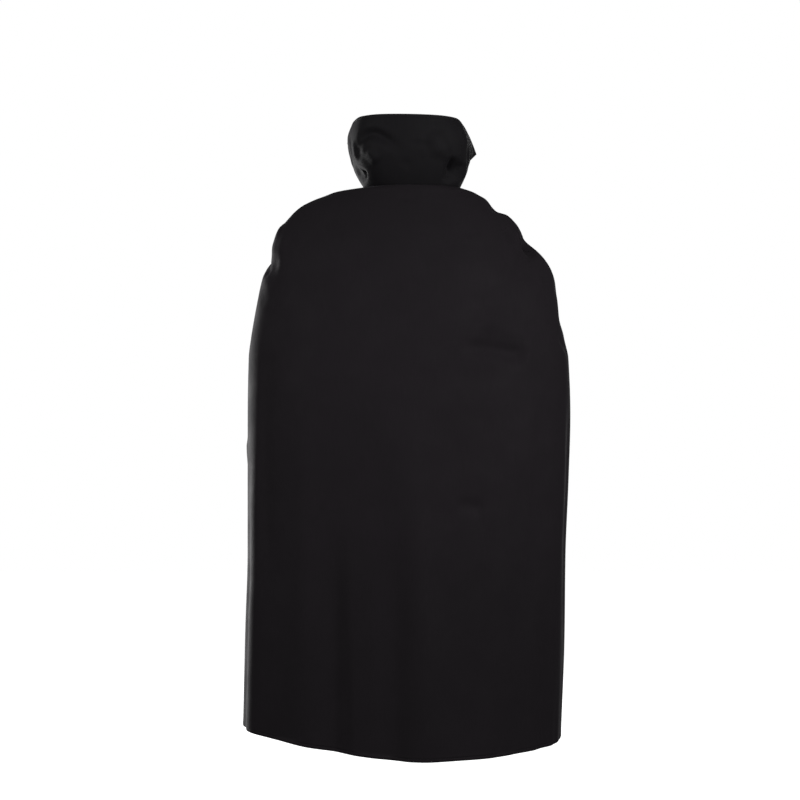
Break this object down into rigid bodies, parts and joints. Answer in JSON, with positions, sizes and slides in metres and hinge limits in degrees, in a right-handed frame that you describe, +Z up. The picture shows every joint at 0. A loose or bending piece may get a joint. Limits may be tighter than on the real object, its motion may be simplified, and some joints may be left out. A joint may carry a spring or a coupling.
{
  "type": "reversible cape",
  "caption": "Long black reversible cape with a tall flared stand collar and a ribbon tie, hanging open at the front as it does when worn.",
  "frame": {"origin": "middle of the neck opening, level with the collar seam at the back, where the neck and shoulders hold the cape up", "axes": "+Z up along the hanging cloth, the open front faces -Y, the cape's own left side is +X"},
  "size_m": [0.7178, 0.4647, 1.3717],
  "materials": {
    "cape_cloth": "matt black woven cloth",
    "collar_cloth": "matt black woven cloth over a stiffening",
    "tie_ribbon": "black satin ribbon"
  },
  "bodies": {
    "root": {"back_panel": "cape_cloth", "front_left_panel": "cape_cloth", "front_right_panel": "cape_cloth", "collar": "collar_cloth", "tie_left": "tie_ribbon", "tie_right": "tie_ribbon", "tie_knot": "tie_ribbon", "tie_left_end": "tie_ribbon", "tie_right_end": "tie_ribbon"}
  },
  "joints": []
}
